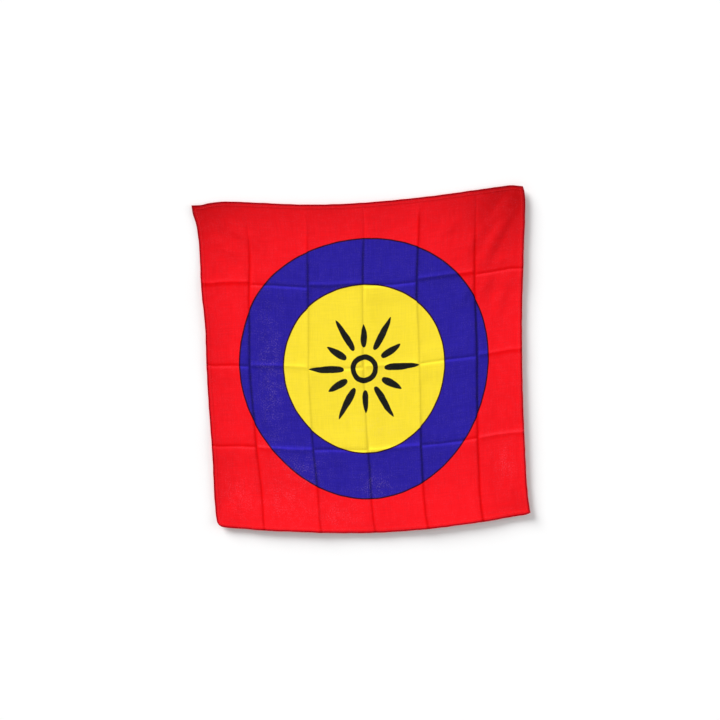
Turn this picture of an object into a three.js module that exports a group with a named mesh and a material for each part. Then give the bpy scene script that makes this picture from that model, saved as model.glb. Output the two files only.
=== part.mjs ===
// A square flag of thin printed cloth with a narrow turned hem, opened out of its packing folds and
// laid face up. Sizes are in millimetres. X runs to the right across the face, Y up the face and Z up
// from the surface that it lies on. The origin is on that surface, under the middle of the outline.
//
// A place on the cloth is given as `across`, from its left side, and `down`, from its top side, both
// measured on the flat cloth.

import * as THREE from 'three';

const CLOTH_SIDE = 900; // finished side of the square
const CLOTH_THICKNESS = 1.2; // of the solid, away from the hem
const HEM_WIDTH = 12;
const HEM_LAYER = 0.6; // what the turned layer adds on the face
const HEM_STEP = 3; // width of the slope from the hem down to the cloth
const CELL_SIZE = 30; // widest gap between two lines of the mesh
const CREASE_FLANK = 10; // the mesh lines beside a crease lie this far from it
const CLOTH_RED = 0xf81c26;

// Where the four corners of the cloth lie on the surface.
const CORNERS = {
  topLeft: new THREE.Vector2(-465.5, 423),
  topRight: new THREE.Vector2(443.5, 474.5),
  bottomLeft: new THREE.Vector2(-393, -456),
  bottomRight: new THREE.Vector2(464, -419.5),
};

// How far each side lies outside the straight line between its corners, at a place along the side.
// The top and bottom sides are read from the left, the left and right sides from the top.
const SIDE_BOWS = {
  top: [
    { along: 0, out: 0 },
    { along: 28, out: 0 },
    { along: 42, out: 3 },
    { along: 90, out: 5.4 },
    { along: 160, out: -0.7 },
    { along: 290, out: -14 },
    { along: 375, out: -18.6 },
    { along: 465, out: -19.2 },
    { along: 640, out: -12 },
    { along: 815, out: 1.8 },
    { along: 870, out: 5.2 },
    { along: 892, out: 1.8 },
    { along: 900, out: 0 },
  ],
  bottom: [
    { along: 0, out: 0 },
    { along: 20, out: 5 },
    { along: 68, out: 10.7 },
    { along: 140, out: 19 },
    { along: 230, out: 26 },
    { along: 320, out: 32.5 },
    { along: 455, out: 37.5 },
    { along: 600, out: 33.5 },
    { along: 695, out: 26.2 },
    { along: 790, out: 17.3 },
    { along: 845, out: 9.8 },
    { along: 890, out: 4.2 },
    { along: 900, out: 0 },
  ],
  left: [
    { along: 0, out: 0 },
    { along: 25, out: -1.8 },
    { along: 50, out: -7.6 },
    { along: 95, out: -11.2 },
    { along: 240, out: -8 },
    { along: 340, out: -10 },
    { along: 440, out: -5.3 },
    { along: 530, out: -2.3 },
    { along: 700, out: -1 },
    { along: 865, out: 3 },
    { along: 900, out: 0 },
  ],
  right: [
    { along: 0, out: 0 },
    { along: 13, out: 3.6 },
    { along: 105, out: 3 },
    { along: 160, out: -0.6 },
    { along: 215, out: -3.2 },
    { along: 300, out: -8 },
    { along: 390, out: -11.2 },
    { along: 570, out: -13 },
    { along: 750, out: -9.8 },
    { along: 835, out: -6.8 },
    { along: 880, out: -2.5 },
    { along: 900, out: 0 },
  ],
};

// Packing creases that run down the cloth: the slightly bent route of each, where it starts below the
// stretched top side, and the height of its fold.
const DOWN_CREASES = [
  {
    route: [
      { down: 0, across: 138 },
      { down: 200, across: 136.5 },
      { down: 300, across: 128 },
      { down: 440, across: 123 },
      { down: 600, across: 127.5 },
      { down: 700, across: 130 },
      { down: 820, across: 138 },
      { down: 900, across: 135 },
    ],
    starts: 110,
    form: 'valley',
    height: 1.3,
  },
  {
    route: [
      { down: 0, across: 303 },
      { down: 110, across: 297.5 },
      { down: 240, across: 297 },
      { down: 330, across: 291.5 },
      { down: 470, across: 289 },
      { down: 690, across: 292 },
      { down: 800, across: 298 },
      { down: 900, across: 296 },
    ],
    starts: 56,
    form: 'ridge',
    height: 1.4,
  },
  {
    route: [
      { down: 0, across: 464 },
      { down: 60, across: 459 },
      { down: 130, across: 453 },
      { down: 220, across: 451.5 },
      { down: 350, across: 448 },
      { down: 600, across: 449.5 },
      { down: 900, across: 453.5 },
    ],
    starts: 35,
    form: 'valley',
    height: 1.3,
  },
  {
    route: [
      { down: 0, across: 612 },
      { down: 60, across: 609 },
      { down: 150, across: 604 },
      { down: 280, across: 601.5 },
      { down: 440, across: 606 },
      { down: 560, across: 605.5 },
      { down: 700, across: 602 },
      { down: 900, across: 604 },
    ],
    starts: 47,
    form: 'ridge',
    height: 1.4,
  },
  {
    route: [
      { down: 0, across: 770 },
      { down: 100, across: 765 },
      { down: 250, across: 765.5 },
      { down: 440, across: 772.5 },
      { down: 540, across: 770.5 },
      { down: 660, across: 767.5 },
      { down: 900, across: 764 },
    ],
    starts: 29,
    form: 'valley',
    height: 1.4,
  },
];

// Packing creases across the cloth. They were folded through all six columns at once, so their form
// turns over from each column to the next, and in two of them the layers slipped a little.
const CROSS_CREASES = [
  { oddColumns: 219, evenColumns: 228, oddForm: 'ridge', height: 1.5 },
  { oddColumns: 451, evenColumns: 447, oddForm: 'valley', height: 1.3 },
  { oddColumns: 674, evenColumns: 674, oddForm: 'valley', height: 1.3 },
];

// Soft folds pulled in from the two upper corners, each a straight low ridge.
const CORNER_FOLDS = [
  { fromAcross: 875, fromDown: 38, toAcross: 779, toDown: 214, width: 25, height: 4.6 },
  { fromAcross: 882, fromDown: 4, toAcross: 800, toDown: 112, width: 22, height: 2.5 },
  { fromAcross: 735, fromDown: 66, toAcross: 655, toDown: 112, width: 22, height: 1.4 },
  { fromAcross: 774, fromDown: 104, toAcross: 736, toDown: 176, width: 20, height: 1.5 },
  { fromAcross: 757, fromDown: 240, toAcross: 715, toDown: 315, width: 24, height: 2.5 },
  { fromAcross: 812, fromDown: 222, toAcross: 780, toDown: 296, width: 20, height: 1.6 },
  { fromAcross: 856, fromDown: 238, toAcross: 822, toDown: 370, width: 26, height: 2.4 },
  { fromAcross: 40, fromDown: 88, toAcross: 110, toDown: 170, width: 24, height: 3 },
  { fromAcross: 80, fromDown: 44, toAcross: 158, toDown: 130, width: 24, height: 3 },
];

// How high each side stands off the surface, how far in the lift reaches, and how it varies. At a
// corner the two lifts blend.
const SIDE_LIFTS = [
  { side: 'top', height: 8, reach: 115, waves: 1.4, phase: 2.6, unevenness: 0.3 },
  { side: 'bottom', height: 17, reach: 125, waves: 2.3, phase: 2.1, unevenness: 0.1 },
  { side: 'left', height: 8, reach: 80, waves: 2.1, phase: 1.9, unevenness: 0.3 },
  { side: 'right', height: 17, reach: 130, waves: 1.7, phase: 5.2, unevenness: 0.05 },
];

const RIDGE_REACH = 36; // how far from its line a ridge has fallen away to flat cloth
const VALLEY_REACH = 60; // and how far from its line the cloth beside a valley has settled again
const VALLEY_CREST = 27 / 4; // makes the highest cloth beside a valley as high as the table says
const COLUMN_EDGE = 12; // a crease across fades out this far from a crease down the cloth
const CORNER_BLEND = 4; // the higher this power, the nearer a corner stays to the higher of its two lifts

// A smooth curve through a table's rows, as a function from one column to another.
function curveThrough(rows, from, to) {
  const places = rows.map((row) => row[from]);
  const values = rows.map((row) => row[to]);
  const spline = new THREE.CubicInterpolant(places, values, 1);
  return (place) => spline.evaluate(place)[0];
}

// A side's departure from the straight line between its corners, outwards on its own left or right.
function bowedSide(from, to, rows, outSign) {
  const outward = to.clone().sub(from).normalize();
  outward.set(-outward.y * outSign, outward.x * outSign);
  const out = curveThrough(rows, 'along', 'out');
  return (along) => outward.clone().multiplyScalar(out(along));
}

const sides = {
  top: bowedSide(CORNERS.topLeft, CORNERS.topRight, SIDE_BOWS.top, 1),
  bottom: bowedSide(CORNERS.bottomLeft, CORNERS.bottomRight, SIDE_BOWS.bottom, -1),
  left: bowedSide(CORNERS.topLeft, CORNERS.bottomLeft, SIDE_BOWS.left, -1),
  right: bowedSide(CORNERS.topRight, CORNERS.bottomRight, SIDE_BOWS.right, 1),
};

// Where a place on the cloth lies on the surface: straight between the corners, with each side's bow
// fading out towards the opposite side.
function placeOnSurface(across, down) {
  const u = across / CLOTH_SIDE;
  const v = down / CLOTH_SIDE;
  const topLine = CORNERS.topLeft.clone().lerp(CORNERS.topRight, u);
  const bottomLine = CORNERS.bottomLeft.clone().lerp(CORNERS.bottomRight, u);
  return topLine
    .lerp(bottomLine, v)
    .addScaledVector(sides.top(across), 1 - v)
    .addScaledVector(sides.bottom(across), v)
    .addScaledVector(sides.left(down), 1 - u)
    .addScaledVector(sides.right(down), u);
}

// The cross-section of a pressed crease at a distance from its line. A ridge falls away on both
// sides, and beside a valley the cloth rises and then settles again.
function creaseProfile(form, height, distance) {
  const isRidge = form === 'ridge';
  const share = Math.min(1, distance / (isRidge ? RIDGE_REACH : VALLEY_REACH));
  const rest = 1 - share;
  return isRidge ? height * rest ** 3 : height * VALLEY_CREST * share * rest ** 2;
}

// Each crease down the cloth with its place across, as a function of the place down.
const downCreases = DOWN_CREASES.map((crease) => ({
  ...crease,
  acrossAt: curveThrough(crease.route, 'down', 'across'),
}));

function downCreaseHeight(across, down) {
  return downCreases.reduce((sum, crease) => {
    const distance = Math.abs(across - crease.acrossAt(down));
    const strength = THREE.MathUtils.smoothstep(down, 0, crease.starts);
    return sum + strength * creaseProfile(crease.form, crease.height, distance);
  }, 0);
}

// The column of panels at a place: its number from the left, counted from 0, and its two borders.
function columnAt(across, down) {
  const borders = [0, ...downCreases.map((crease) => crease.acrossAt(down)), CLOTH_SIDE];
  const next = borders.findIndex((border) => border > across);
  const index = (next === -1 ? borders.length - 1 : next) - 1;
  return { index, left: borders[index], right: borders[index + 1] };
}

function crossCreaseHeight(across, down) {
  const column = columnAt(across, down);
  const isOdd = column.index % 2 === 0;
  const inside = Math.min(
    column.index === 0 ? CLOTH_SIDE : across - column.left,
    column.index === downCreases.length ? CLOTH_SIDE : column.right - across,
  );
  const strength = THREE.MathUtils.smoothstep(inside, 0, COLUMN_EDGE);
  return CROSS_CREASES.reduce((sum, crease) => {
    const place = isOdd ? crease.oddColumns : crease.evenColumns;
    const isRidge = (crease.oddForm === 'ridge') === isOdd;
    const form = isRidge ? 'ridge' : 'valley';
    return sum + strength * creaseProfile(form, crease.height, Math.abs(down - place));
  }, 0);
}

function cornerFoldHeight(across, down) {
  const place = new THREE.Vector3(across, down, 0);
  const nearest = new THREE.Vector3();
  return CORNER_FOLDS.reduce((sum, fold) => {
    const line = new THREE.Line3(
      new THREE.Vector3(fold.fromAcross, fold.fromDown, 0),
      new THREE.Vector3(fold.toAcross, fold.toDown, 0),
    );
    const share = line.closestPointToPointParameter(place, true);
    const distance = line.at(share, nearest).distanceTo(place) / fold.width;
    const fullness = Math.sin(Math.PI * share);
    return sum + fold.height * fullness * Math.max(0, 1 - distance * distance) ** 2;
  }, 0);
}

function sideLiftHeight(across, down) {
  const inwards = { top: down, bottom: CLOTH_SIDE - down, left: across, right: CLOTH_SIDE - across };
  const along = { top: across, bottom: across, left: down, right: down };
  const lifts = SIDE_LIFTS.map((lift) => {
    const rise = Math.max(0, 1 - inwards[lift.side] / lift.reach);
    const turn = (2 * Math.PI * lift.waves * along[lift.side]) / CLOTH_SIDE + lift.phase;
    return lift.height * rise * rise * (1 + lift.unevenness * Math.cos(turn));
  });
  return lifts.reduce((sum, lift) => sum + lift ** CORNER_BLEND, 0) ** (1 / CORNER_BLEND);
}

function undersideHeight(across, down) {
  return (
    downCreaseHeight(across, down) +
    crossCreaseHeight(across, down) +
    cornerFoldHeight(across, down) +
    sideLiftHeight(across, down)
  );
}

function thicknessAt(across, down) {
  const inwards = Math.min(across, down, CLOTH_SIDE - across, CLOTH_SIDE - down);
  const hemShare = 1 - THREE.MathUtils.clamp((inwards - HEM_WIDTH) / HEM_STEP, 0, 1);
  return CLOTH_THICKNESS + HEM_LAYER * hemShare;
}

// Mesh lines over the cloth: the fixed ones, and as many evenly between each two as keep the gaps
// under the cell size. A line is an array of its places.
function fillLines(fixed) {
  const lines = [fixed[0]];
  fixed.slice(1).forEach((next) => {
    const last = lines[lines.length - 1];
    const widestGap = Math.max(...next.map((value, index) => value - last[index]));
    const cells = Math.ceil(widestGap / CELL_SIZE);
    for (let step = 1; step <= cells; step += 1) {
      lines.push(next.map((value, index) => THREE.MathUtils.lerp(last[index], value, step / cells)));
    }
  });
  return lines;
}

const HEM_LINES = [0, HEM_WIDTH, HEM_WIDTH + HEM_STEP];
const FAR_HEM_LINES = HEM_LINES.map((place) => CLOTH_SIDE - place).reverse();

// Lines down the cloth follow its creases, so each has a place of its own on every line across.
function linesDownCloth(acrossLines) {
  const upright = (place) => acrossLines.map(() => place);
  const besideCreases = downCreases.flatMap((crease) =>
    [-CREASE_FLANK, 0, CREASE_FLANK].map((offset) =>
      acrossLines.map((down) => crease.acrossAt(down) + offset),
    ),
  );
  return fillLines([...HEM_LINES.map(upright), ...besideCreases, ...FAR_HEM_LINES.map(upright)]);
}

function linesAcrossCloth() {
  const besideCreases = CROSS_CREASES.flatMap((crease) => {
    const upper = Math.min(crease.oddColumns, crease.evenColumns);
    const lower = Math.max(crease.oddColumns, crease.evenColumns);
    return [upper - CREASE_FLANK, upper, lower, lower + CREASE_FLANK];
  });
  return fillLines([...HEM_LINES, ...besideCreases, ...FAR_HEM_LINES].map((place) => [place])).flat();
}

// Whether a quad is truer when it is split between its second and fourth corners than between its
// first and third, judged by the cloth's height at its middle. It keeps a slanting fold's crest.
function turnsSplit(corners) {
  const average = (key) => corners.reduce((sum, corner) => sum + corner[key], 0) / corners.length;
  const height = undersideHeight(average('across'), average('down'));
  const [first, second, third, fourth] = corners.map((corner) => corner.z);
  return Math.abs((second + fourth) / 2 - height) < Math.abs((first + third) / 2 - height);
}

// The cloth as one closed body: a face and an underside on the same mesh lines, joined all round.
function clothGeometry() {
  const acrossLines = linesAcrossCloth();
  const downLines = linesDownCloth(acrossLines);
  const width = downLines.length;
  const height = acrossLines.length;
  const points = acrossLines.flatMap((down, row) =>
    downLines.map((line) => {
      const across = line[row];
      return { across, down, ...placeOnSurface(across, down), z: undersideHeight(across, down) };
    }),
  );
  const face = points.flatMap(({ across, down, x, y, z }) => [x, y, z + thicknessAt(across, down)]);
  const underside = points.flatMap(({ x, y, z }) => [x, y, z]);

  const faceVertex = ([column, row]) => row * width + column;
  const underVertex = (place) => points.length + faceVertex(place);
  const triangles = [];
  const addQuad = (a, b, c, d) => triangles.push(a, b, c, a, c, d);
  for (let row = 0; row < height - 1; row += 1) {
    for (let column = 0; column < width - 1; column += 1) {
      const loop = [[column, row], [column, row + 1], [column + 1, row + 1], [column + 1, row]];
      if (turnsSplit(loop.map((place) => points[faceVertex(place)]))) loop.push(loop.shift());
      addQuad(...loop.map(faceVertex));
      const [first, second, third, fourth] = loop.map(underVertex);
      addQuad(first, fourth, third, second);
    }
  }

  // The rim runs anticlockwise, seen from above.
  const rim = [];
  for (let row = 0; row < height - 1; row += 1) rim.push([0, row]);
  for (let column = 0; column < width - 1; column += 1) rim.push([column, height - 1]);
  for (let row = height - 1; row > 0; row -= 1) rim.push([width - 1, row]);
  for (let column = width - 1; column > 0; column -= 1) rim.push([column, 0]);
  rim.forEach((here, index) => {
    const next = rim[(index + 1) % rim.length];
    addQuad(underVertex(here), underVertex(next), faceVertex(next), faceVertex(here));
  });

  const geometry = new THREE.BufferGeometry();
  geometry.setAttribute('position', new THREE.Float32BufferAttribute([...face, ...underside], 3));
  geometry.setIndex(triangles);
  geometry.computeBoundingBox();
  const middle = geometry.boundingBox.getCenter(new THREE.Vector3());
  geometry.translate(-middle.x, -middle.y, 0);
  geometry.computeVertexNormals();
  return geometry;
}

function makeCloth() {
  const material = new THREE.MeshStandardMaterial({
    color: CLOTH_RED,
    roughness: 0.75,
    metalness: 0,
  });
  const cloth = new THREE.Mesh(clothGeometry(), material);
  cloth.name = 'flag_cloth';
  return cloth;
}

const flag = new THREE.Group();
flag.add(makeCloth());

export default flag;
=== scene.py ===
import math

import bpy
import numpy as np
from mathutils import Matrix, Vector, noise


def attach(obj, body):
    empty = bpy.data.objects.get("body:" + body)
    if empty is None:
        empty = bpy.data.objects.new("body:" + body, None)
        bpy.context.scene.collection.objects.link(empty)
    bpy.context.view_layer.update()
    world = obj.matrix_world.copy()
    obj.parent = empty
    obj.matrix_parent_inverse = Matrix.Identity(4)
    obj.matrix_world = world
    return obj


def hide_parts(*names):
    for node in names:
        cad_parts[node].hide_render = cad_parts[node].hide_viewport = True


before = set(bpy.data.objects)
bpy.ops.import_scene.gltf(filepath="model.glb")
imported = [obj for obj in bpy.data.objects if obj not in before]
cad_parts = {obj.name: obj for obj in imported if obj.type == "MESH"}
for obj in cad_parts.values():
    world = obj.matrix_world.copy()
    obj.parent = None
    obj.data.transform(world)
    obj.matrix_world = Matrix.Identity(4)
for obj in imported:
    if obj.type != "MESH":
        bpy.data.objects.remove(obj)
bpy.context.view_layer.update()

# A square flag of thin printed cloth, opened out of its packing folds and laid face up. Blender
# works in metres. The tables are in millimetres where they don't say otherwise, and a place on the
# cloth is (across, down), measured on the flat cloth from its upper left corner.
mm = 0.001

clothShape = {
    "side": 900.0,
    "thickness": 0.7,
    "hemWidth": 12.0,
    "hemLayer": 0.5,  # what the turned layer adds
    "hemStep": 2.0,  # the width that its layer ends over
    "rimRound": 0.9,  # the turned edge is round this far in
    "rimThickness": 0.25,
    "hemLines": (0, 0.3, 0.9, 3, 6, 9, 12, 13, 14, 16),  # mesh lines, from the edge inwards
    "cellSize": 5.6,  # and the widest gap between two lines anywhere
    "corners": {
        "topLeft": (-465.5, 423.0),
        "topRight": (443.5, 474.5),
        "bottomLeft": (-393.0, -456.0),
        "bottomRight": (464.0, -419.5),
    },
    "puckers": [(0.2, 61.0), (0.14, 37.0)],  # of the sewn edge: how far it strays, over what length
    "puckerStart": 40.0,  # they set in over this much of each side
    "roundCorner": 14.0,  # at the lower left
    # each side between its corners: (place along it, how far outwards it lies)
    "bows": {
        "top": [
            (0, 0), (28, 0), (42, 3), (90, 5.4), (160, -0.7), (290, -14), (375, -18.6),
            (465, -19.2), (640, -12), (815, 1.8), (870, 5.2), (892, 1.8), (900, 0),
        ],
        "bottom": [
            (0, 0), (20, 5), (68, 10.7), (140, 19), (230, 26), (320, 32.5), (455, 37.5),
            (600, 33.5), (695, 26.2), (790, 17.3), (845, 9.8), (890, 4.2), (900, 0),
        ],
        "left": [
            (0, 0), (25, -1.8), (50, -7.6), (95, -11.2), (240, -8), (340, -10), (440, -5.3),
            (530, -2.3), (700, -1), (865, 3), (900, 0),
        ],
        "right": [
            (0, 0), (13, 3.6), (105, 3), (160, -0.6), (215, -3.2), (300, -8), (390, -11.2),
            (570, -13), (750, -9.8), (835, -6.8), (880, -2.5), (900, 0),
        ],
    },
}

# Creases down the cloth: the route as (down, across), how far down its form has risen, whether it
# is a ridge, its height, how dark its line is (painted shade in the crease, partly wear), and
# between which places down that line sets in
downCreases = [
    (
        [
            (0, 138), (200, 136.5), (300, 128), (440, 123), (600, 127.5), (700, 130), (820, 138),
            (900, 135),
        ],
        110, False, 1.3, 0.80, (70, 165),
    ),
    (
        [
            (0, 303), (110, 297.5), (240, 297), (330, 291.5), (470, 289), (690, 292), (800, 298),
            (900, 296),
        ],
        56, True, 1.4, 0.76, (50, 190),
    ),
    (
        [(0, 464), (60, 459), (130, 453), (220, 451.5), (350, 448), (600, 449.5), (900, 453.5)],
        35, False, 1.3, 0.76, (60, 130),
    ),
    (
        [
            (0, 612), (60, 609), (150, 604), (280, 601.5), (440, 606), (560, 605.5), (700, 602),
            (900, 604),
        ],
        47, True, 1.4, 0.94, (30, 62),
    ),
    (
        [(0, 770), (100, 765), (250, 765.5), (440, 772.5), (540, 770.5), (660, 767.5), (900, 764)],
        29, False, 1.4, 1.0, (45, 190),
    ),
]

# Creases across it: (place in odd columns, in even columns, ridge in the odd ones or not, height,
# how strong the pale line of painted highlight and the dark line of painted shade beside its ridges
# are, both partly wear)
crossCreases = [
    (219, 228, True, 1.5, 0.5, 1.3),
    (451, 447, False, 1.3, 0.6, 1.0),
    (674, 674, False, 1.3, 1.2, 0.4),
]

creaseShape = {
    "ridgeReach": 36.0,
    "valleyReach": 60.0,
    "valleyCrest": 27 / 4,  # brings the crests beside a valley to its height
    # the pressed fold itself, added to the broad one: (reach, share of its height)
    "ridgeFold": (9.0, 0.3),
    "valleyFold": (18.0, 0.32),
    "columnEdge": 9.0,  # this near to a crease down, a crease across fades out
    "lineWidth": 3.8,  # of the dark crease line in the dye: painted shade, partly wear
    # beside a crease across: (pale line's place below it, its width, dark line's place, its width);
    # the pale line is painted highlight and the dark one painted shade, both partly wear
    "ridgeLines": (-4.0, 4.6, 5.0, 5.6),
    "valleyLines": (3.0, 3.8, -3.2, 4.2),
    "crossDark": 0.32,  # on the ring and the disc: how strong its dark line of painted shade is
    "crossTone": (0.65, 0.45),  # on the ground: how deep its dark line of painted shade is, how thin its pale one of painted highlight
    "ringFade": 4.0,  # how softly these change at the edge of the ring
    "wander": (1.2, 37.0),  # how far a crease across strays, and over what length
    "pinch": 1.2,  # how much cloth each side of a crease down is caught up in it
    "pinchReach": 14.0,
    "pinchStart": 80.0,  # it sets in over this much of the crease
    "linesBeside": (0, 1.5, 3, 4.5, 6.5, 9, 13),  # mesh lines on each side of a crease
    "bandCell": 2.2,  # and the widest gap between the two places of a crease across
}

# Loose folds at the corners: (from across, from down, to across, to down, half width, height)
cornerFolds = [
    (875, 38, 779, 214, 25, 4.6),
    (882, 4, 800, 112, 22, 2.5),
    (735, 66, 655, 112, 22, 1.4),
    (774, 104, 736, 176, 20, 1.5),
    (757, 240, 715, 315, 24, 2.5),
    (812, 222, 780, 296, 20, 1.6),
    (856, 238, 822, 370, 26, 2.4),
    (40, 88, 110, 170, 24, 3),
    (80, 44, 158, 130, 24, 3),
]

# Small crumples between the creases, the same way
crumples = [
    (84, 72, 118, 104, 12, 1.3),
    (138, 84, 172, 99, 11, 0.9),
    (70, 128, 96, 150, 11, 1.0),
    (46, 38, 64, 92, 13, 1.2),
    (122, 232, 138, 280, 10, 0.7),
    (788, 92, 776, 124, 12, 0.9),
    (750, 206, 770, 250, 10, 1.0),
    (846, 188, 832, 214, 11, 1.0),
    (700, 58, 664, 84, 12, 0.5),
    (798, 716, 796, 806, 13, 0.6),
    (862, 800, 838, 872, 13, 0.5),
    (40, 790, 96, 846, 13, 0.5),
    (214, 742, 236, 812, 13, 0.5),
    (640, 170, 700, 240, 14, 0.5),
    (520, 196, 575, 160, 13, 0.4),
    (700, 560, 742, 640, 14, 0.4),
]

# The sides stand off the floor: (side, height, reach, waves along the side, phase, unevenness)
sideLifts = [
    ("top", 8, 115, 1.4, 2.6, 0.3),
    ("bottom", 17, 125, 2.3, 2.1, 0.1),
    ("left", 8, 80, 2.1, 1.9, 0.3),
    ("right", 17, 130, 1.7, 5.2, 0.05),
]
cornerBlend = 4  # the larger it is, the nearer a corner is to the higher of its two lifts

# Loose cloth is nowhere quite flat: (size of the swells, height, place in the noise)
swells = [(230.0, 0.9, 0.0), (85.0, 0.5, 7.3), (32.0, 0.16, 14.6)]
swellSpread = 0.9  # how far they vary about half their height


def curveThrough(rows, places):
    # a smooth curve through a table's rows of (place, value)
    at, value = np.array(rows, float).T
    secant = np.diff(value) / np.diff(at)
    slope = np.concatenate(([secant[0]], (secant[:-1] + secant[1:]) / 2, [secant[-1]]))
    i = np.clip(np.searchsorted(at, places, side="right") - 1, 0, len(at) - 2)
    span = at[i + 1] - at[i]
    p = (places - at[i]) / span
    fromLeft = (1 + 2 * p) * (1 - p) ** 2 * value[i] + p * (1 - p) ** 2 * span * slope[i]
    fromRight = p**2 * (3 - 2 * p) * value[i + 1] - p**2 * (1 - p) * span * slope[i + 1]
    return fromLeft + fromRight


def smooth(x, low, high):
    t = np.clip((x - low) / (high - low), 0, 1)
    return t * t * (3 - 2 * t)


def bowOut(side, startCorner, endCorner, places, turn):
    start = np.array(clothShape["corners"][startCorner])
    end = np.array(clothShape["corners"][endCorner])
    along = (end - start) / np.linalg.norm(end - start)
    outwards = np.array((-along[1], along[0])) * turn
    out = curveThrough(clothShape["bows"][side], places)
    for stray, length in clothShape["puckers"]:
        wave = np.sin(2 * math.pi * places / length + start[0])
        out += stray * wave * smooth(places, 0, clothShape["puckerStart"])
    return out[..., None] * outwards


def drawnIn(across, down):
    # the lower left corner is turned round, its square rows drawn in to an arc
    radius = clothShape["roundCorner"]
    fromLeft = np.clip(1 - across / radius, 0, 1)
    fromFoot = np.clip(1 - (clothShape["side"] - down) / radius, 0, 1)
    movedAcross = across + radius * fromLeft * (1 - np.sqrt(1 - fromFoot**2 / 2))
    return movedAcross, down - radius * fromFoot * (1 - np.sqrt(1 - fromLeft**2 / 2))


def placeOnFloor(across, down):
    # straight between the corners, with each side's bow fading out towards the opposite side
    across, down = drawnIn(across, down)
    corners = {name: np.array(place) for name, place in clothShape["corners"].items()}
    u = (across / clothShape["side"])[..., None]
    v = (down / clothShape["side"])[..., None]
    top = corners["topLeft"] * (1 - u) + corners["topRight"] * u
    bottom = corners["bottomLeft"] * (1 - u) + corners["bottomRight"] * u
    place = top * (1 - v) + bottom * v
    place += bowOut("top", "topLeft", "topRight", across, 1) * (1 - v)
    place += bowOut("bottom", "bottomLeft", "bottomRight", across, -1) * v
    place += bowOut("left", "topLeft", "bottomLeft", down, -1) * (1 - u)
    place += bowOut("right", "topRight", "bottomRight", down, 1) * u
    return place


def outlineMiddle():
    placesAlong = 600
    along = np.linspace(0, clothShape["side"], placesAlong)
    near, far = np.zeros_like(along), np.full_like(along, clothShape["side"])
    sides = [(along, near), (along, far), (near, along), (far, along)]
    rim = np.concatenate([placeOnFloor(across, down) for across, down in sides])
    return (rim.min(axis=0) + rim.max(axis=0)) / 2


def ridgeProfile(distance, reach, height):
    return height * (1 - np.minimum(1, distance / reach)) ** 3


def valleyProfile(distance, reach, height):
    share = np.minimum(1, distance / reach)
    return height * creaseShape["valleyCrest"] * share * (1 - share) ** 2


def creaseProfile(isRidge, height, distance):
    ridge = ridgeProfile(distance, creaseShape["ridgeReach"], height)
    reach, share = creaseShape["ridgeFold"]
    ridge += ridgeProfile(distance, reach, share * height)
    valley = valleyProfile(distance, creaseShape["valleyReach"], height)
    reach, share = creaseShape["valleyFold"]
    valley += valleyProfile(distance, reach, share * height)
    return np.where(isRidge, ridge, valley)


def downCreasePlaces(down):
    return [curveThrough(route, down) for route, *_ in downCreases]


def wearAndPaintedLightLine(distance, width):
    return np.exp(-((distance / width) ** 2))


def creaseHeights(across, down):
    # the height of the creases, and their lines in the dye: painted shade and painted highlight,
    # partly wear
    height, dark, pale = np.zeros_like(across), np.zeros_like(across), np.zeros_like(across)
    places = downCreasePlaces(down)
    for place, (_, starts, isRidge, rise, darkness, setsIn) in zip(places, downCreases):
        distance = np.abs(across - place)
        height += smooth(down, 0, starts) * creaseProfile(isRidge, rise, distance)
        # a dark line of painted shade in the crease, partly wear
        line = wearAndPaintedLightLine(distance, creaseShape["lineWidth"]) * smooth(down, *setsIn)
        dark = np.maximum(dark, darkness * line)
    tone = dark.copy()
    column = sum((across >= place).astype(int) for place in places)
    isOdd = column % 2 == 0
    inside = np.min([np.abs(across - place) for place in places], axis=0)
    strength = smooth(inside, 0, creaseShape["columnEdge"])
    reachesEnd = smooth(inside, 0, creaseShape["columnEdge"] / 2)
    stray, length = creaseShape["wander"]
    centreAcross, centreDown = printInks["centre"]
    fromCentre = np.hypot(across - centreAcross, down - centreDown)
    deepest, thinnest = creaseShape["crossTone"]
    ringEdge, fade = printInks["ringRadius"], creaseShape["ringFade"]
    inRing = 1 - smooth(fromCentre, ringEdge - fade, ringEdge + fade)
    for odd, even, oddIsRidge, rise, ridgePale, ridgeDark in crossCreases:
        isRidge = isOdd == oddIsRidge
        below = down - np.where(isOdd, odd, even) - stray * np.sin(across / length + odd)
        height += strength * creaseProfile(isRidge, rise, np.abs(below))
        lines = np.where(isRidge[..., None], creaseShape["ridgeLines"], creaseShape["valleyLines"])
        # a pale line of painted highlight and a dark line of painted shade beside it, partly wear
        paleLine = wearAndPaintedLightLine(below - lines[..., 0], lines[..., 1]) * np.where(isRidge, ridgePale, 1)
        darkLine = wearAndPaintedLightLine(below - lines[..., 2], lines[..., 3]) * np.where(isRidge, ridgeDark, 1)
        tone += reachesEnd * (deepest * darkLine - thinnest * paleLine)
        pale = np.maximum(pale, reachesEnd * inRing * paleLine)
        dark = np.maximum(dark, reachesEnd * inRing * creaseShape["crossDark"] * darkLine)
    return height, {"foldDark": dark, "foldPale": pale, "foldTone": tone * (1 - inRing)}


def looseFoldHeights(across, down):
    height = np.zeros_like(across)
    for fromAcross, fromDown, toAcross, toDown, halfWidth, rise in cornerFolds + crumples:
        runAcross, runDown = toAcross - fromAcross, toDown - fromDown
        along = (across - fromAcross) * runAcross + (down - fromDown) * runDown
        share = np.clip(along / (runAcross**2 + runDown**2), 0, 1)
        offAcross = across - fromAcross - share * runAcross
        offDown = down - fromDown - share * runDown
        off = (offAcross**2 + offDown**2) / halfWidth**2
        height += rise * np.sin(math.pi * share) * np.maximum(0, 1 - off) ** 2
    return height


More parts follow.
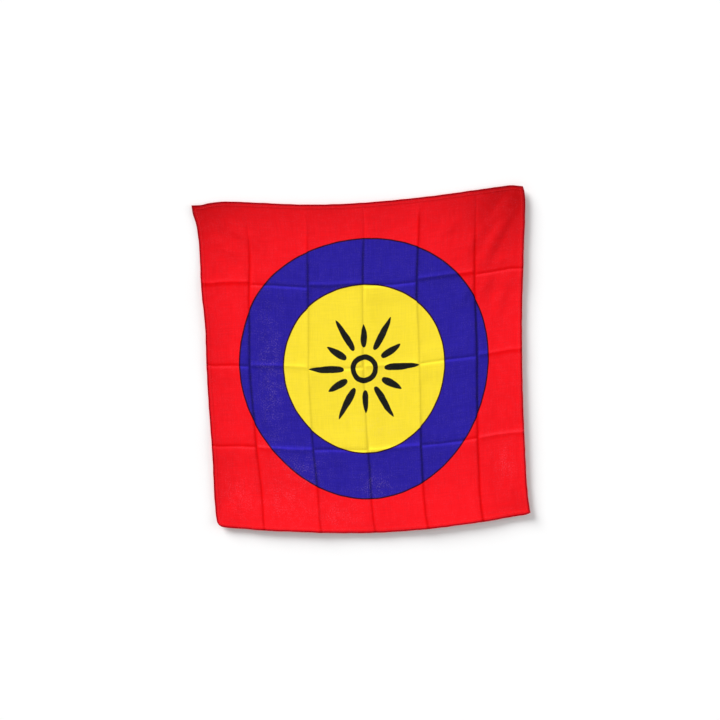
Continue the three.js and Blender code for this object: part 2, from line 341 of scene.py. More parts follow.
def sideLiftHeights(across, down):
    side = clothShape["side"]
    inwards = {"top": down, "bottom": side - down, "left": across, "right": side - across}
    along = {"top": across, "bottom": across, "left": down, "right": down}
    total = np.zeros_like(across)
    for name, rise, reach, waves, phase, unevenness in sideLifts:
        share = np.maximum(0, 1 - inwards[name] / reach)
        turn = 2 * math.pi * waves * along[name] / side + phase
        total += (rise * share**2 * (1 + unevenness * np.cos(turn))) ** cornerBlend
    return total ** (1 / cornerBlend)


def swellHeights(across, down):
    height = np.zeros(across.size)
    places = np.stack((across.ravel(), down.ravel()), axis=1)
    for size, rise, level in swells:
        lumps = [noise.noise(Vector((a / size, d / size, level))) for a, d in places]
        height += rise * np.clip(0.5 + swellSpread * np.array(lumps), 0, 1)
    return height.reshape(across.shape)


def clothSurface(across, down):
    # the underside's place and the cloth's thickness there in millimetres, and the worn lines
    folds, lines = creaseHeights(across, down)
    under = folds + looseFoldHeights(across, down) + sideLiftHeights(across, down)
    under += swellHeights(across, down)
    side = clothShape["side"]
    inwards = np.minimum.reduce([across, down, side - across, side - down])
    width = clothShape["hemWidth"]
    hem = 1 - smooth(inwards, width, width + clothShape["hemStep"])
    full = clothShape["thickness"] + clothShape["hemLayer"] * hem
    roundShare = np.clip(1 - inwards / clothShape["rimRound"], 0, 1)
    rim = clothShape["rimThickness"]
    thickness = rim + (full - rim) * np.sqrt(1 - roundShare**2)
    under += (full - thickness) / 2
    place = placeOnFloor(across, down) - outlineMiddle()
    return np.dstack((place, under)), thickness, lines


def filledLines(fixed, widest):
    # the fixed lines, and as many evenly between each two as keep the gaps under the widest
    lines = [fixed[0]]
    for nextLine in fixed[1:]:
        last = lines[-1]
        gap = np.max(nextLine - last)
        if gap > 0:
            cells = math.ceil(gap / widest)
            lines += [last + (nextLine - last) * step / cells for step in range(1, cells + 1)]
    return lines


def meshLines(bands, crossings):
    # a line is an array of its places, one on each line that it crosses
    beside = np.array(creaseShape["linesBeside"])
    hem = [np.full(crossings, float(place)) for place in clothShape["hemLines"]]
    fixed = hem.copy()
    for first, last in bands:
        fixed += [first - off for off in beside[:0:-1]]
        fixed += filledLines([first, last], creaseShape["bandCell"])
        fixed += [last + off for off in beside[1:]]
    fixed += [clothShape["side"] - line for line in reversed(hem)]
    return np.array(filledLines(fixed, clothShape["cellSize"]))


def clothGrid():
    ends = [np.sort([[float(odd)], [float(even)]], axis=0) for odd, even, *_ in crossCreases]
    down = meshLines(ends, 1)[:, 0]
    routes = downCreasePlaces(down)
    across = meshLines([(route, route) for route in routes], len(down)).T
    return across, np.repeat(down[:, None], across.shape[1], axis=1)


def newObject(name, points, faces, smoothShading=True):
    mesh = bpy.data.meshes.new(name)
    mesh.from_pydata(points, [], faces)
    mesh.validate()
    if smoothShading:
        mesh.polygons.foreach_set("use_smooth", np.ones(len(mesh.polygons), bool))
    mesh.update()
    piece = bpy.data.objects.new(name, mesh)
    bpy.context.scene.collection.objects.link(piece)
    return piece


def addValues(mesh, name, values):
    layer = mesh.attributes.new(name, "FLOAT", "POINT")
    layer.data.foreach_set("value", np.asarray(values, np.float32))


wearAndPaintedLight = {
    # where the surface is rubbed pale, with painted sheen: (across, down, half width, half height,
    # strength)
    "scuffsWithSheen": [
        (183, 480, 34, 168, 0.7),
        (72, 806, 48, 46, 0.4),
        (841, 752, 26, 46, 0.42),
        (466, 771, 44, 28, 0.9),
        (206, 808, 66, 50, 0.42),
        (350, 850, 60, 35, 0.4),
        (255, 730, 60, 40, 0.6),
        (470, 610, 70, 30, 0.3),
    ],
    # painted shade, darker towards these places: (across, down, reach across, reach down, strength)
    "paintedShadeSpots": [
        (885, 40, 300, 380, 0.66),
        (0, 0, 280, 255, 0.49),
        (900, 600, 190, 540, 0.17),
        (880, 880, 190, 110, 0.20),
        (500, 900, 620, 110, 0.21),
        (40, 890, 150, 90, 0.20),
    ],
    "paintedShadeTop": (130, 0.16),  # painted shade along the top: (reach down, strength)
    "paintedShadeFade": {"corner": 1.6, "top": 1.5},  # how fast the painted shade fades with distance
}


def wearAndPaintedLightValues(across, down):
    # paler, rougher patches: rubbed wear with painted sheen
    scuffWithSheen = np.zeros_like(across)
    for atAcross, atDown, halfWidth, halfHeight, strength in wearAndPaintedLight["scuffsWithSheen"]:
        away = ((across - atAcross) / halfWidth) ** 2 + ((down - atDown) / halfHeight) ** 2
        scuffWithSheen = np.maximum(scuffWithSheen, strength * np.exp(-away))
    # the second value is painted shade, darker along the top and near the listed places
    fade = wearAndPaintedLight["paintedShadeFade"]
    reach, strength = wearAndPaintedLight["paintedShadeTop"]
    paintedShadeAmount = strength * np.maximum(0, 1 - down / reach) ** fade["top"]
    for atAcross, atDown, reachAcross, reachDown, strength in wearAndPaintedLight["paintedShadeSpots"]:
        away = np.hypot((across - atAcross) / reachAcross, (down - atDown) / reachDown)
        paintedShadeAmount += strength * np.maximum(0, 1 - away) ** fade["corner"]
    return scuffWithSheen, paintedShadeAmount


def pinchedAcross(across, down):
    # where the print lies, a little of which is caught up in each crease down the cloth
    shift = np.zeros_like(across)
    for place in downCreasePlaces(down):
        off = across - place
        fade = np.exp(-np.abs(off) / creaseShape["pinchReach"])
        shift += np.sign(off) * creaseShape["pinch"] * fade
    return across + shift * smooth(down, 0, creaseShape["pinchStart"])


def makeCloth():
    across, down = clothGrid()
    under, thickness, shown = clothSurface(across, down)
    face = under.copy()
    face[..., 2] += thickness
    rows, columns = across.shape
    points = np.concatenate((face.reshape(-1, 3), under.reshape(-1, 3))) * mm
    index = np.arange(rows * columns).reshape(rows, columns)
    quads = np.stack((index[:-1, :-1], index[1:, :-1], index[1:, 1:], index[:-1, 1:]), axis=-1)
    faceQuads = quads.reshape(-1, 4)
    underQuads = faceQuads[:, ::-1] + rows * columns
    rim = np.concatenate((index[:-1, 0], index[-1, :-1], index[:0:-1, -1], index[0, :0:-1]))
    nextRim = np.roll(rim, -1)
    under0, under1 = rim + rows * columns, nextRim + rows * columns
    rimQuads = np.stack((under0, under1, nextRim, rim), axis=-1)
    allQuads = np.concatenate((faceQuads, rimQuads, underQuads))
    cloth = newObject("FlagCloth", points.tolist(), allQuads.tolist())

    mesh = cloth.data
    corner = np.empty(len(mesh.loops), np.int32)
    mesh.loops.foreach_get("vertex_index", corner)
    side = clothShape["side"]
    printAcross = pinchedAcross(across, down)
    flat = np.stack((printAcross.ravel() / side, 1 - down.ravel() / side), axis=1)
    flat = np.concatenate((flat, flat))
    layer = mesh.uv_layers.new(name="flatCloth")
    layer.data.foreach_set("uv", flat[corner].astype(np.float32).ravel())

    # paler patches with painted sheen, and painted shade
    shown["scuffWithSheen"], shown["paintedShade"] = wearAndPaintedLightValues(across, down)
    for name, values in shown.items():
        addValues(mesh, name, np.tile(values.ravel(), 2))
    onBack = np.arange(len(mesh.polygons)) >= len(faceQuads) + len(rimQuads)
    mesh.polygons.foreach_set("material_index", onBack.astype(np.int32))
    print(f"cloth: {len(mesh.polygons)} quads, {rows} x {columns} lines")
    return cloth


stitching = {
    "inset": 10.0,
    "pitch": 3.3,
    "length": 2.5,
    "radius": 0.36,
    "sides": 6,
    "ringPlaces": (-1, -0.55, 0.55, 1),  # along half a stitch
    "ringSizes": (0.25, 1, 1, 0.25),
    "colour": (0.80, 0.006, 0.012),
    "lighter": 1.35,  # how much lighter it is along its twist
    "twistScale": 1800.0,  # to a metre
    "twistHeight": 0.05,
    "roughness": (0.45, 0.65),
}


def stitchRings(along, beside, alongAcross, onTop):
    # rings of points round the middle line of each stitch, ready to be joined
    across, down = (along, beside) if alongAcross else (beside, along)
    surface, thickness, _ = clothSurface(across, down)
    if onTop:
        surface[..., 2] += thickness
    step = surface[:, -1] - surface[:, 0]
    step /= np.linalg.norm(step, axis=1)[:, None]
    upwards = np.array((0, 0, 1.0))
    sideways = np.cross(step, upwards)[:, None, None, :]
    turns = 2 * math.pi * np.arange(stitching["sides"]) / stitching["sides"]
    around = np.cos(turns)[:, None] * sideways + np.sin(turns)[:, None] * upwards
    sizes = np.array(stitching["ringSizes"]) * stitching["radius"]
    return surface[:, :, None, :] + around * sizes[:, None, None]


def stitchFaces(first):
    # the faces of one stitch, whose points start at this number
    sides, rings = stitching["sides"], len(stitching["ringSizes"])
    ring = [first + k for k in range(sides)]
    faces = [tuple(ring), tuple(point + (rings - 1) * sides for point in reversed(ring))]
    for level in range(rings - 1):
        low = [point + level * sides for point in ring]
        high = [point + sides for point in low]
        faces += [(low[k - 1], high[k - 1], high[k], low[k]) for k in range(sides)]
    return faces


def makeStitching():
    # a row of short threads round the hem, each a spindle half sunk in the cloth
    side, inset = clothShape["side"], stitching["inset"]
    run = side - 2 * inset
    count = int(run / stitching["pitch"])
    middles = inset + run * (np.arange(count) + 0.5) / count
    along = middles[:, None] + np.array(stitching["ringPlaces"]) * stitching["length"] / 2
    points, faces = [], []
    for onTop in (True, False):
        for alongAcross in (True, False):
            for fixed in (inset, side - inset):
                rings = stitchRings(along, np.full_like(along, fixed), alongAcross, onTop)
                first = len(points)
                points += (rings.reshape(-1, 3) * mm).tolist()
                stride = stitching["sides"] * len(stitching["ringSizes"])
                for number in range(count):
                    faces += stitchFaces(first + number * stride)
    threads = newObject("HemStitching", points, faces)
    print(f"stitching: {2 * 4 * count} stitches")
    return threads


# Short ways to add shader nodes and join them


def addNode(tree, kind, **settings):
    node = tree.nodes.new(kind)
    for name, value in settings.items():
        setattr(node, name, value)
    return node


def feed(tree, socket, value):
    if isinstance(value, bpy.types.NodeSocket):
        tree.links.new(value, socket)
    else:
        socket.default_value = value


def calc(tree, operation, *values, clamp=False):
    node = addNode(tree, "ShaderNodeMath", operation=operation, use_clamp=clamp)
    for socket, value in zip(node.inputs, values):
        feed(tree, socket, value)
    return node.outputs[0]


def remap(tree, value, low, high, lowTo=0.0, highTo=1.0):
    node = addNode(tree, "ShaderNodeMapRange", interpolation_type="SMOOTHSTEP")
    for socket, given in zip(node.inputs, (value, low, high, lowTo, highTo)):
        feed(tree, socket, given)
    return node.outputs["Result"]


def mixColour(tree, share, first, second, blend="MIX"):
    node = addNode(tree, "ShaderNodeMix", data_type="RGBA", blend_type=blend)
    feed(tree, node.inputs["Factor"], share)
    for socket, value in zip([s for s in node.inputs if s.type == "RGBA"], (first, second)):
        feed(tree, socket, value)
    return next(s for s in node.outputs if s.type == "RGBA")


def mixValue(tree, share, first, second):
    node = addNode(tree, "ShaderNodeMix", data_type="FLOAT")
    for name, value in zip(("Factor", "A", "B"), (share, first, second)):
        socket = next(s for s in node.inputs if s.name == name and s.type == "VALUE")
        feed(tree, socket, value)
    return next(s for s in node.outputs if s.type == "VALUE")


def noiseValue(tree, place, scale, detail=2.0, roughness=0.5, stretch=None):
    if stretch is not None:
        mapping = addNode(tree, "ShaderNodeMapping")
        mapping.inputs["Scale"].default_value = stretch
        feed(tree, mapping.inputs["Vector"], place)
        place = mapping.outputs["Vector"]
    node = addNode(tree, "ShaderNodeTexNoise")
    feed(tree, node.inputs["Vector"], place)
    node.inputs["Scale"].default_value = scale
    node.inputs["Detail"].default_value = detail
    node.inputs["Roughness"].default_value = roughness
    return node.outputs["Fac"]


def newGroup(name, inputs, outputs):
    tree = bpy.data.node_groups.new(name, "ShaderNodeTree")
    for socketName, kind in inputs:
        tree.interface.new_socket(socketName, in_out="INPUT", socket_type=kind)
    for socketName, kind in outputs:
        tree.interface.new_socket(socketName, in_out="OUTPUT", socket_type=kind)
    given = tree.nodes.new("NodeGroupInput").outputs
    wanted = tree.nodes.new("NodeGroupOutput").inputs
    return tree, given, wanted


def placeGroup(tree, group, **values):
    node = addNode(tree, "ShaderNodeGroup", node_tree=group)
    for name, value in values.items():
        feed(tree, node.inputs[name], value)
    return node


sunMotif = {
    "rays": 12,
    "rayStart": 58.0,
    "longRay": 158.0,
    "shortRay": 122.0,
    "rayHalf": 10.0,
    "rayFullness": 1.95,  # brings a ray's widest place to about that half width
    "rayTaper": (0.35, 0.6),  # how blunt its inner and its outer end are
    "ring": 32.0,
    "ringHalf": 8.0,
    "handWobble": 7.0,  # how far the brush strays
    "wobbleSize": 45.0,  # and over what length
}


def sunMask(tree, place, bleed):
    # a ring with tapered rays round it, long and short by turns, wobbled as if brushed on by hand
    sun = sunMotif
    wobble = addNode(tree, "ShaderNodeTexNoise")
    feed(tree, wobble.inputs["Vector"], place)
    wobble.inputs["Scale"].default_value = 1 / sun["wobbleSize"]
    shifted = addNode(tree, "ShaderNodeVectorMath", operation="MULTIPLY_ADD")
    feed(tree, shifted.inputs[0], wobble.outputs["Color"])
    shifted.inputs[1].default_value = (sun["handWobble"],) * 3
    feed(tree, shifted.inputs[2], place)
    parts = addNode(tree, "ShaderNodeSeparateXYZ")
    feed(tree, parts.inputs[0], shifted.outputs[0])
    meanShift = sun["handWobble"] / 2
    x = calc(tree, "SUBTRACT", parts.outputs["X"], meanShift)
    y = calc(tree, "SUBTRACT", parts.outputs["Y"], meanShift)
    squares = calc(tree, "MULTIPLY_ADD", x, x, calc(tree, "MULTIPLY", y, y))
    radius = calc(tree, "SQRT", squares)
    angle = calc(tree, "ARCTAN2", y, x)
    sector = 2 * math.pi / sun["rays"]
    number = calc(tree, "ROUND", calc(tree, "DIVIDE", angle, sector))
    local = calc(tree, "SUBTRACT", angle, calc(tree, "MULTIPLY", number, sector))
    outwards = calc(tree, "MULTIPLY", radius, calc(tree, "COSINE", local))
    sideways = calc(tree, "ABSOLUTE", calc(tree, "MULTIPLY", radius, calc(tree, "SINE", local)))
    isShort = calc(tree, "ABSOLUTE", calc(tree, "MODULO", number, 2.0))
    shorter = sun["shortRay"] - sun["longRay"]
    length = calc(tree, "MULTIPLY_ADD", isShort, shorter, sun["longRay"] - sun["rayStart"])
    pastStart = calc(tree, "SUBTRACT", outwards, sun["rayStart"])
    share = calc(tree, "DIVIDE", pastStart, length, clamp=True)
    rest = calc(tree, "SUBTRACT", 1.0, share)
    innerTaper, outerTaper = sun["rayTaper"]
    inner = calc(tree, "POWER", share, innerTaper)
    taper = calc(tree, "MULTIPLY", inner, calc(tree, "POWER", rest, outerTaper))
    half = calc(tree, "MULTIPLY", taper, sun["rayFullness"] * sun["rayHalf"])
    ray = calc(tree, "SUBTRACT", half, sideways)
    fromRing = calc(tree, "ABSOLUTE", calc(tree, "SUBTRACT", radius, sun["ring"]))
    ring = calc(tree, "SUBTRACT", sun["ringHalf"], fromRing)
    return remap(tree, calc(tree, "MAXIMUM", ray, ring), 0.0, bleed)


printInks = {
    "centre": (449.2, 452.8),
    "ringRadius": 355.0,
    "discRadius": 230.3,
    "outlineHalf": 1.9,
    "bleed": 0.7,  # how softly one ink meets the next
    "creep": 1.2,  # how far its edge wanders
    "creepScale": 0.35,  # waves of that to a millimetre
    "face": {
        "Ground": (0.905, 0.0075, 0.0135),
        "Ring": (0.0230, 0.0133, 0.326),
        "Disc": (0.94, 0.735, 0.034),
        "Outline": (0.027, 0.003, 0.012),
        "Motif": (0.0095, 0.0110, 0.0080),
    },
    # the print shows through, paler
    "back": {
        "Ground": (0.86, 0.085, 0.090),
        "Ring": (0.10, 0.085, 0.42),
        "Disc": (0.92, 0.76, 0.14),
        "Outline": (0.16, 0.05, 0.12),
        "Motif": (0.12, 0.11, 0.055),
    },
    # how much a crease's dark line of painted shade (partly wear) darkens each ink, how much the
    # painted highlight of a crease across brightens it, and how far the threads differ in it
    "effects": {
        "FoldDark": {"Ground": 0.175, "Ring": 0.82, "Disc": 0.21},
        "FoldPale": {"Ground": 0.0, "Ring": 0.50, "Disc": 0.17},
        "Uneven": {"Ground": 0.35, "Ring": 0.85, "Disc": 0.25},
    },
    "backLines": 0.5,  # how strong the creases' lines of painted shade and highlight are on the back
}


def makePrintGroup():
    # the inks, and how deep a crease's painted shade and how pale its painted highlight show in
    # each, and how far its threads differ
    effects = printInks["effects"]
    tree, given, wanted = newGroup(
        "flagPrint",
        [("Place", "NodeSocketVector")] + [(ink, "NodeSocketColor") for ink in printInks["face"]],
        [("Colour", "NodeSocketColor")] + [(effect, "NodeSocketFloat") for effect in effects],
    )
    place = given["Place"]
    length = addNode(tree, "ShaderNodeVectorMath", operation="LENGTH")
    feed(tree, length.inputs[0], place)
    creep = noiseValue(tree, place, printInks["creepScale"], detail=3.0)
    creep = calc(tree, "SUBTRACT", creep, 0.5)
    radius = calc(tree, "MULTIPLY_ADD", creep, printInks["creep"], length.outputs["Value"])
    bleed, half = printInks["bleed"], printInks["outlineHalf"]
    edges = {"Ring": printInks["ringRadius"], "Disc": printInks["discRadius"]}

    colour = given["Ground"]
    shares = {effect: inInks["Ground"] for effect, inInks in effects.items()}
    for ink, edge in edges.items():
        inside = remap(tree, radius, edge - bleed, edge + bleed, 1.0, 0.0)
        colour = mixColour(tree, inside, colour, given[ink])
        for effect, inInks in effects.items():
            shares[effect] = mixValue(tree, inside, shares[effect], inInks[ink])
    colour = mixColour(tree, sunMask(tree, place, 2 * bleed), colour, given["Motif"])
    for edge in edges.values():
        fromEdge = calc(tree, "ABSOLUTE", calc(tree, "SUBTRACT", radius, edge))
        onEdge = remap(tree, fromEdge, half - bleed, half + bleed, 1.0, 0.0)
        colour = mixColour(tree, onEdge, colour, given["Outline"])
    feed(tree, wanted["Colour"], colour)
    for effect, share in shares.items():
        feed(tree, wanted[effect], share)
    return tree


weaveLook = {
    "threadPitch": 0.6,
    "weaveHeight": 0.08,
    "passOver": 0.2,  # how softly a thread passes from over to under
    "slubWidth": 2.5,  # of the uneven threads
    "slubLength": 60.0,
    "crumpleSize": 20.0,  # of the slight unevenness between the folds
    "crumpleHeight": 0.45,
    "roughness": (0.62, 0.85),  # whole, and where it is rubbed
    "specular": 0.03,
    "sheen": 0.015,
    "sheenRoughness": 0.4,
}


def makeWeaveGroup():
    # plain weave: two sets of round threads that pass over and under each other
    tree, given, wanted = newGroup(
        "voileWeave",
        [("Place", "NodeSocketVector"), ("Pitch", "NodeSocketFloat")],
        [("Height", "NodeSocketFloat"), ("Streaks", "NodeSocketFloat")],
    )
    parts = addNode(tree, "ShaderNodeSeparateXYZ")
    feed(tree, parts.inputs[0], given["Place"])
    waves = []
    for axis in ("X", "Y"):
        turns = calc(tree, "MULTIPLY", parts.outputs[axis], math.pi)
        waves.append(calc(tree, "SINE", calc(tree, "DIVIDE", turns, given["Pitch"])))
    soft = weaveLook["passOver"]
    over = remap(tree, calc(tree, "MULTIPLY", *waves), -soft, soft)
    warp, weft = (calc(tree, "ABSOLUTE", wave) for wave in waves)
    lifted = calc(tree, "MULTIPLY", warp, over)
    lowered = calc(tree, "MULTIPLY", weft, calc(tree, "SUBTRACT", 1.0, over))
    feed(tree, wanted["Height"], calc(tree, "ADD", lifted, lowered))
    narrow, long = 1 / weaveLook["slubWidth"], 1 / weaveLook["slubLength"]
    upright = noiseValue(tree, given["Place"], 1.0, detail=3.0, stretch=(narrow, long, 1.0))
    level = noiseValue(tree, given["Place"], 1.0, detail=3.0, stretch=(long, narrow, 1.0))
    feed(tree, wanted["Streaks"], calc(tree, "MULTIPLY", calc(tree, "ADD", upright, level), 0.5))
    return tree


# What use has done to the dye, and the shade and highlight painted into it. Scales are waves to a
# millimetre, and the rows of four are (noise from, noise to, value from, value to). Edge distances
# are from the cloth's edge inwards
dyeWearAndPaintedLight = {
    "brokenScale": 0.05,  # each crease line of painted shade and highlight is stronger and weaker along its way
    "broken": (0.3, 0.7, 0.75, 1.0),
    "darkColour": (0.0, 0.0, 0.0, 1.0),
    "paleLight": (2.0, 2.0, 2.0, 1.0),  # what a full pale line of painted highlight, partly wear, multiplies the dye by
    "paintedShadeColour": (0.36, 0.0, 0.0, 1.0),  # and what the strongest painted shade multiplies it by
    "toneDepth": 0.33,  # how deep the ground's crease lines of painted shade, partly wear, are
    "hemDark": 0.04,  # how much the doubled hem darkens
    "hemFade": 1.0,
    "edgeColour": (0.20, 0.0, 0.004, 1.0),  # of the thin dark line just inside the turned edge: the doubled cloth, with painted edge shade
    "edgeStrength": 0.85,
    "edgeStart": (0.4, 1.6),
    "edgeEnd": (2.4, 6.4),
    "grainScale": 0.30,  # of the rubbed threads, which (noise from, noise to) picks
    "grain": (0.46, 0.66),
    "patchScale": 0.05,
    "patch": (0.35, 0.65, 0.2, 1.0),
    "rubbedWithSheen": (0.15, 0.85),  # everywhere, and how much more in a scuff, where sheen is painted too
    "rubbedWithSheenColour": (0.8, 0.5, 0.75, 1.0),
    "rubbedWithSheenPale": 0.17,
    "streaks": (0.35, 0.65, -0.15, 0.13),  # how much darker and lighter a thread is
}


def makeWearAndPaintedLightGroup():
    # crease lines of painted shade and highlight (partly wear), painted shade at the top, corners
    # and lower sides, rubbed patches with painted sheen, the doubled hem, its edge line with
    # painted shade, and uneven threads
    tree, given, wanted = newGroup(
        "wornDyeAndPaintedLight",
        [
            ("Colour", "NodeSocketColor"),
            ("Place", "NodeSocketVector"),
            ("Streaks", "NodeSocketFloat"),
            ("Uneven", "NodeSocketFloat"),
            ("DarkLine", "NodeSocketFloat"),
            ("PaleLine", "NodeSocketFloat"),
            ("Tone", "NodeSocketFloat"),
            ("DeepDye", "NodeSocketFloat"),
            ("Scuff", "NodeSocketFloat"),
        ],
        [("Colour", "NodeSocketColor"), ("RubbedWithSheen", "NodeSocketFloat")],
    )
    place, look = given["Place"], dyeWearAndPaintedLight
    broken = noiseValue(tree, place, look["brokenScale"], detail=3.0)
    broken = remap(tree, broken, *look["broken"])
    # crease lines: the dark ones painted shade, the pale ones painted highlight, partly wear
    dark = calc(tree, "MULTIPLY", given["DarkLine"], broken)
    pale = calc(tree, "MULTIPLY", given["PaleLine"], broken)
    colour = mixColour(tree, dark, given["Colour"], look["darkColour"])
    colour = mixColour(tree, pale, colour, look["paleLight"], "MULTIPLY")
    # painted shade, darker towards the top, the corners and the lower sides
    colour = mixColour(tree, given["DeepDye"], colour, look["paintedShadeColour"], "MULTIPLY")

    parts = addNode(tree, "ShaderNodeSeparateXYZ")
    feed(tree, parts.inputs[0], place)
    centreAcross, centreDown = printInks["centre"]
    side = clothShape["side"]
    across = calc(tree, "ADD", parts.outputs["X"], centreAcross)
    down = calc(tree, "SUBTRACT", centreDown, parts.outputs["Y"])
    nearest = across
    fromRight = calc(tree, "SUBTRACT", side, across)
    for distance in (down, fromRight, calc(tree, "SUBTRACT", side, down)):
        nearest = calc(tree, "MINIMUM", nearest, distance)
    width, fade = clothShape["hemWidth"], look["hemFade"]
    hem = remap(tree, nearest, width - fade, width + fade, look["hemDark"], 0.0)
    # a thin dark line inside the edge: the doubled cloth with painted edge shade
    edge = remap(tree, nearest, *look["edgeEnd"], look["edgeStrength"], 0.0)
    edge = calc(tree, "MULTIPLY", edge, remap(tree, nearest, *look["edgeStart"]))
    colour = mixColour(tree, hem, colour, look["darkColour"])
    colour = mixColour(tree, edge, colour, look["edgeColour"])

    grain = noiseValue(tree, place, look["grainScale"], detail=3.0, roughness=0.65)
    grain = remap(tree, grain, *look["grain"])
    patch = remap(tree, noiseValue(tree, place, look["patchScale"]), *look["patch"])
    # rubbed, paler grain everywhere, and more in the patches with painted sheen
    rubbedWithSheen = calc(tree, "MULTIPLY", grain, patch)
    everywhere, inScuff = look["rubbedWithSheen"]
    wornAndPaintedLight = calc(tree, "MULTIPLY_ADD", given["Scuff"], inScuff, everywhere)
    rubbedWithSheen = calc(tree, "MULTIPLY", rubbedWithSheen, wornAndPaintedLight)
    paleShare = calc(tree, "MULTIPLY", rubbedWithSheen, look["rubbedWithSheenPale"])
    colour = mixColour(tree, paleShare, colour, look["rubbedWithSheenColour"])

    streaks = remap(tree, given["Streaks"], *look["streaks"])
    light = calc(tree, "MULTIPLY_ADD", streaks, given["Uneven"], 1.0)
    toned = addNode(tree, "ShaderNodeGamma")  # deepens the dye in its own hue along the crease lines of painted shade, and lightens it along their painted highlights
    feed(tree, toned.inputs["Color"], colour)
    depth = calc(tree, "MULTIPLY_ADD", given["Tone"], look["toneDepth"], 1.0)
    feed(tree, toned.inputs["Gamma"], depth)
    colour = toned.outputs["Color"]
    feed(tree, wanted["Colour"], mixColour(tree, 1.0, colour, light, "MULTIPLY"))
    feed(tree, wanted["RubbedWithSheen"], rubbedWithSheen)
    return tree


def newMaterial(name):
    material = bpy.data.materials.new(name)
    material.use_nodes = True
    tree = material.node_tree
    return material, tree, tree.nodes["Principled BSDF"]


def flatPlace(tree):
    # millimetres on the flat cloth, from the middle of the print, Y up the face
    flat = addNode(tree, "ShaderNodeUVMap", uv_map="flatCloth")
    place = addNode(tree, "ShaderNodeVectorMath", operation="MULTIPLY_ADD")
    feed(tree, place.inputs[0], flat.outputs["UV"])
    side = clothShape["side"]
    across, down = printInks["centre"]
    place.inputs[1].default_value = (side, side, 0.0)
    place.inputs[2].default_value = (-across, down - side, 0.0)
    return place.outputs[0]


def bump(tree, height, distance, normal=None):
    node = addNode(tree, "ShaderNodeBump")
    node.inputs["Distance"].default_value = distance
    node.inputs["Strength"].default_value = 1.0
    feed(tree, node.inputs["Height"], height)
    if normal is not None:
        feed(tree, node.inputs["Normal"], normal)
    return node.outputs["Normal"]


def makeClothMaterial(name, inks, lineShare, groups):
    material, tree, shader = newMaterial(name)
    place = flatPlace(tree)
    pattern = placeGroup(
        tree, groups["print"], Place=place, **{ink: (*colour, 1.0) for ink, colour in inks.items()}
    )
    weave = placeGroup(tree, groups["weave"], Place=place, Pitch=weaveLook["threadPitch"])
    shown = {
        attribute: addNode(tree, "ShaderNodeAttribute", attribute_name=attribute).outputs["Fac"]
        for attribute in ("foldDark", "foldPale", "foldTone", "paintedShade", "scuffWithSheen")
    }
    # the crease lines' painted shade and painted highlight
    dark = calc(tree, "MULTIPLY", shown["foldDark"], pattern.outputs["FoldDark"])
    pale = calc(tree, "MULTIPLY", shown["foldPale"], pattern.outputs["FoldPale"])
    wornAndPaintedLight = placeGroup(
        tree,
        groups["wearAndPaintedLight"],
        Colour=pattern.outputs["Colour"],
        Place=place,
        Streaks=weave.outputs["Streaks"],
        Uneven=pattern.outputs["Uneven"],
        DarkLine=calc(tree, "MULTIPLY", dark, lineShare),
        PaleLine=calc(tree, "MULTIPLY", pale, lineShare),
        Tone=calc(tree, "MULTIPLY", shown["foldTone"], lineShare),
        DeepDye=shown["paintedShade"],
        Scuff=shown["scuffWithSheen"],
    )
    feed(tree, shader.inputs["Base Color"], wornAndPaintedLight.outputs["Colour"])
    roughness = remap(tree, wornAndPaintedLight.outputs["RubbedWithSheen"], 0.0, 1.0, *weaveLook["roughness"])
    feed(tree, shader.inputs["Roughness"], roughness)
    crumple = noiseValue(tree, place, 1 / weaveLook["crumpleSize"], detail=3.0, roughness=0.55)
    normal = bump(tree, crumple, weaveLook["crumpleHeight"] * mm)
    normal = bump(tree, weave.outputs["Height"], weaveLook["weaveHeight"] * mm, normal=normal)
    feed(tree, shader.inputs["Normal"], normal)
    shader.inputs["Specular IOR Level"].default_value = weaveLook["specular"]
    shader.inputs["Sheen Weight"].default_value = weaveLook["sheen"]
    shader.inputs["Sheen Roughness"].default_value = weaveLook["sheenRoughness"]
    return material


def makeThreadMaterial():
    material, tree, shader = newMaterial("hemThread")
    where = addNode(tree, "ShaderNodeTexCoord").outputs["Object"]
    twist = noiseValue(tree, where, stitching["twistScale"])
    dark = stitching["colour"]
    light = tuple(min(1.0, stitching["lighter"] * value) for value in dark)
    colour = mixColour(tree, remap(tree, twist, 0.35, 0.65), (*dark, 1.0), (*light, 1.0))
    feed(tree, shader.inputs["Base Color"], colour)
    feed(tree, shader.inputs["Roughness"], remap(tree, twist, 0.3, 0.7, *stitching["roughness"]))
    feed(tree, shader.inputs["Normal"], bump(tree, twist, stitching["twistHeight"] * mm))
    return material


# A plain studio: the camera straight above, a white floor, two soft lights and a white sky
studio = {
    "lens": 85.0,
    "sensor": 36.0,
    "viewWidth": 1.980,  # metres of floor across the picture
    "viewCentre": (-2.75, -1.4),  # of the picture, beside the middle of the outline's table
    "floorSize": 14.0,  # metres
    "floorDrop": 0.1,  # below the cloth
    "floorColour": (0.965, 0.965, 0.965),
    "floorRoughness": 0.95,
    "floorSpecular": 0.1,
    # soft and low from the upper left, weak from the right: (from, strength, spread)
    "lights": {
        "keyLight": ((-0.68, 0.73, 0.52), 3.45, 33.0),
        "fillLight": ((0.85, 0.05, 0.40), 0.70, 45.0),
    },
    "skyStrength": 0.45,
}


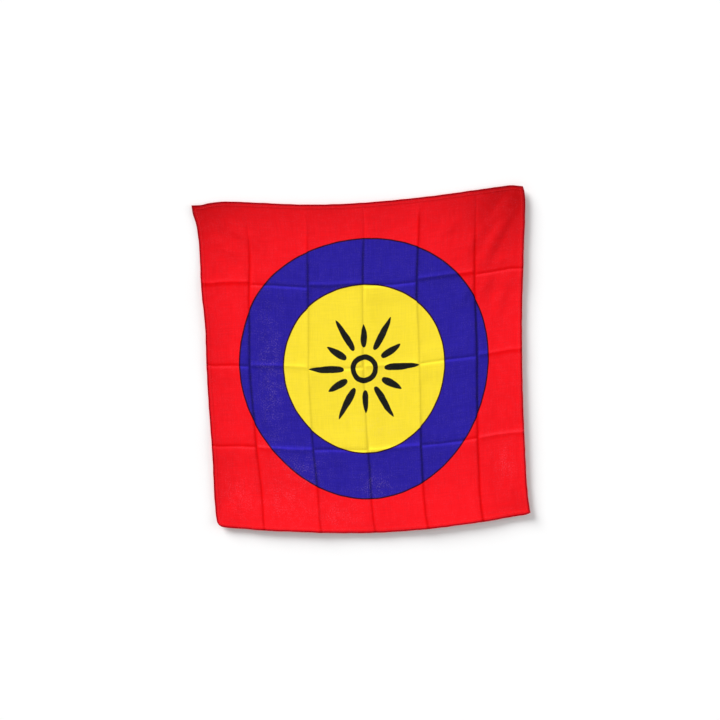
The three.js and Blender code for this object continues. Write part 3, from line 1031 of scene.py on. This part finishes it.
def makeCamera():
    data = bpy.data.cameras.new("viewCamera")
    data.lens = studio["lens"]
    data.sensor_width = studio["sensor"]
    camera = bpy.data.objects.new("viewCamera", data)
    bpy.context.scene.collection.objects.link(camera)
    height = studio["viewWidth"] * studio["lens"] / studio["sensor"]
    x, y = (np.array(studio["viewCentre"]) - outlineMiddle()) * mm
    camera.location = (x, y, height)
    camera.rotation_euler = (0.0, 0.0, 0.0)
    bpy.context.scene.camera = camera


def makeFloorMaterial():
    material, _, shader = newMaterial("studioFloor")
    shader.inputs["Base Color"].default_value = (*studio["floorColour"], 1.0)
    shader.inputs["Roughness"].default_value = studio["floorRoughness"]
    shader.inputs["Specular IOR Level"].default_value = studio["floorSpecular"]
    return material


def makeFloor():
    half, low = studio["floorSize"] / 2, -studio["floorDrop"] * mm
    corners = [(-half, -half, low), (half, -half, low), (half, half, low), (-half, half, low)]
    floor = newObject("StudioFloor", corners, [(0, 1, 2, 3)], smoothShading=False)
    floor.data.materials.append(makeFloorMaterial())


def makeLights():
    for name, (comesFrom, strength, spread) in studio["lights"].items():
        data = bpy.data.lights.new(name, "SUN")
        data.energy = strength
        data.angle = math.radians(spread)
        light = bpy.data.objects.new(name, data)
        light.rotation_mode = "QUATERNION"
        light.rotation_quaternion = Vector(comesFrom).to_track_quat("Z", "Y")
        bpy.context.scene.collection.objects.link(light)
    world = bpy.data.worlds.new("studioSky")
    world.use_nodes = True
    background = world.node_tree.nodes["Background"]
    background.inputs["Color"].default_value = (1.0, 1.0, 1.0, 1.0)
    background.inputs["Strength"].default_value = studio["skyStrength"]
    bpy.context.scene.world = world
    bpy.context.scene.view_settings.view_transform = "Standard"


makeCamera()
makeFloor()
makeLights()
print("studio ready")

flagCloth = makeCloth()
hemStitching = makeStitching()
groups = {"print": makePrintGroup(), "weave": makeWeaveGroup(), "wearAndPaintedLight": makeWearAndPaintedLightGroup()}
for name, inks, lineShare in (
    ("printedFace", printInks["face"], 1.0),
    ("printedBack", printInks["back"], printInks["backLines"]),
):
    flagCloth.data.materials.append(makeClothMaterial(name, inks, lineShare, groups))
hemStitching.data.materials.append(makeThreadMaterial())
print("materials ready")

for piece in (flagCloth, hemStitching):
    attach(piece, "root")
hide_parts("flag_cloth")
